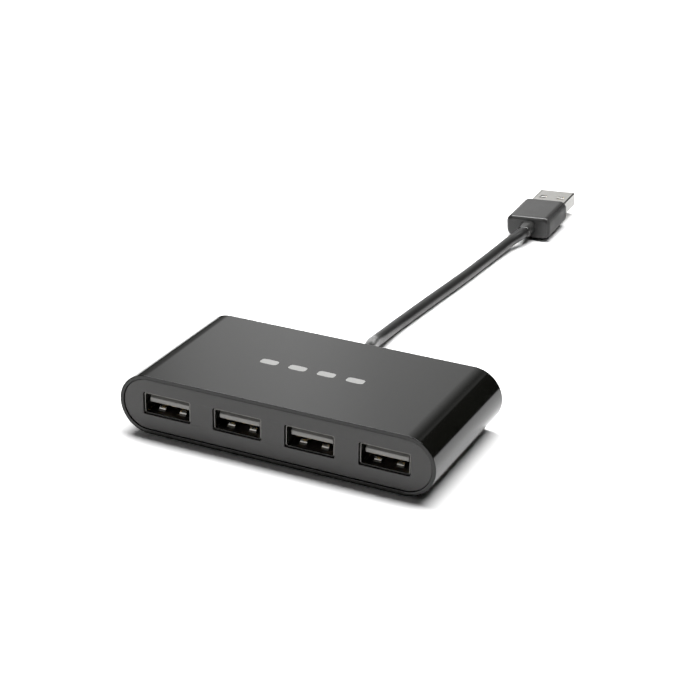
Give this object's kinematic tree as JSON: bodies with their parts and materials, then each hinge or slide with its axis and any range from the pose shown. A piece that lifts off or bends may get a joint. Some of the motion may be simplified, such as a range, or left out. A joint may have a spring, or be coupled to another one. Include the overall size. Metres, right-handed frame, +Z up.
{
  "type": "usb hub",
  "caption": "Slim desktop USB hub with a row of type A sockets in its front plate, a one-piece glossy sleeve with half-round ends, and a captive cord with a type A plug.",
  "frame": {"origin": "on the surface that the hub stands on, under the middle of its body", "axes": "+X along the row of sockets, +Y towards the back where the cord leaves, +Z up; the sockets face -Y"},
  "size_m": [0.086, 0.2076, 0.0166],
  "materials": {
    "sleeve_gloss": "polished black, faint dust",
    "bezel_satin": "fine spark texture, dark grey",
    "tray_plastic": "plain moulded",
    "board_laminate": "green solder mask",
    "nickel_sheet": "nickel plated sheet",
    "white_insulator": "moulded, glass filled",
    "gold_contact": "gold flashed",
    "chip_epoxy": "moulded epoxy",
    "tinned_lead": "tinned",
    "capacitor_can": "drawn can",
    "capacitor_ceramic": "tan body, tinned ends",
    "ferrite": "sintered",
    "fuse_body": "dark green polymer",
    "screw_steel": "zinc plated",
    "foot_rubber": "matt black",
    "wire_red_vinyl": "extruded",
    "wire_white_vinyl": "extruded",
    "wire_green_vinyl": "extruded",
    "wire_black_vinyl": "extruded",
    "soft_vinyl": "satin moulded",
    "cord_jacket": "satin extruded",
    "grip_vinyl": "satin moulded",
    "inner_plastic": "plain moulded"
  },
  "bodies": {
    "root": {"outer_sleeve": "sleeve_gloss", "front_bezel": "bezel_satin", "rear_bezel": "bezel_satin", "chassis_tray": "tray_plastic", "circuit_board": "board_laminate", "port_1_shell": "nickel_sheet", "port_2_shell": "nickel_sheet", "port_3_shell": "nickel_sheet", "port_4_shell": "nickel_sheet", "port_1_tongue": "white_insulator", "port_2_tongue": "white_insulator", "port_3_tongue": "white_insulator", "port_4_tongue": "white_insulator", "port_1_contacts": "gold_contact", "port_2_contacts": "gold_contact", "port_3_contacts": "gold_contact", "port_4_contacts": "gold_contact", "hub_controller": "chip_epoxy", "controller_leads": "tinned_lead", "crystal": "tinned_lead", "bulk_capacitors": "capacitor_can", "chip_capacitors": "capacitor_ceramic", "chip_resistors": "chip_epoxy", "ferrite_beads": "ferrite", "port_fuses": "fuse_body", "board_screws": "screw_steel", "housing_screws": "screw_steel", "rubber_feet": "foot_rubber", "wire_red": "wire_red_vinyl", "wire_white": "wire_white_vinyl", "wire_green": "wire_green_vinyl", "wire_black": "wire_black_vinyl", "cable_strain_relief": "soft_vinyl", "cable_cord": "cord_jacket", "plug_overmould": "grip_vinyl", "plug_shell": "nickel_sheet", "plug_insulator": "white_insulator", "plug_contacts": "gold_contact", "plug_inner_mould": "inner_plastic"}
  },
  "joints": []
}
